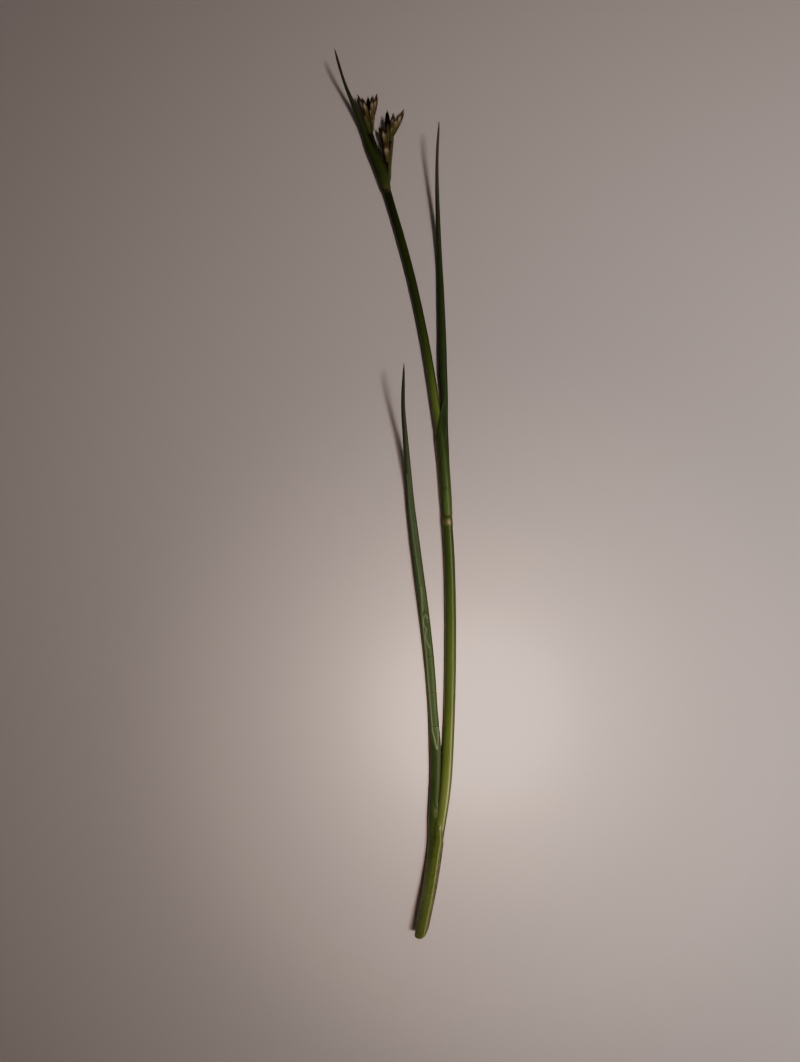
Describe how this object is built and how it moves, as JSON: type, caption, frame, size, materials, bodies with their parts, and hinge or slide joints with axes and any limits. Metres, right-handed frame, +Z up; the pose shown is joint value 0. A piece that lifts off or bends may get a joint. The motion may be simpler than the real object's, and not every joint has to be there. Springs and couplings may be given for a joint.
{
  "type": "cut flowering rush stem",
  "caption": "A cut flowering stem of a jointed rush, lying flat: a flattened green stem with sheathing tapered leaves, a leafy bract and tufts of brown pointed florets.",
  "frame": {"origin": "on the surface that the stem lies on, under the middle of the whole stem's outline", "axes": "+Y along the lying stem from its cut end to its flowers, +X to the right seen from above, +Z up"},
  "size_m": [0.0241, 0.1744, 0.0091],
  "materials": {
    "stem": "satin, fine lengthwise ribs",
    "lower_leaf": "satin, grey bloom",
    "upper_leaf": "satin",
    "bract": "satin",
    "flower_branch": "satin",
    "branch_scale": "papery",
    "florets": "dry, papery, dark tips"
  },
  "bodies": {
    "root": {"stem": "stem", "lower_leaf": "lower_leaf", "upper_leaf": "upper_leaf", "bract": "bract", "left_branch": "flower_branch", "right_branch": "flower_branch", "branch_scale": "branch_scale", "left_head": "florets", "lower_head": "florets", "upper_head": "florets", "outer_head": "florets"}
  },
  "joints": []
}
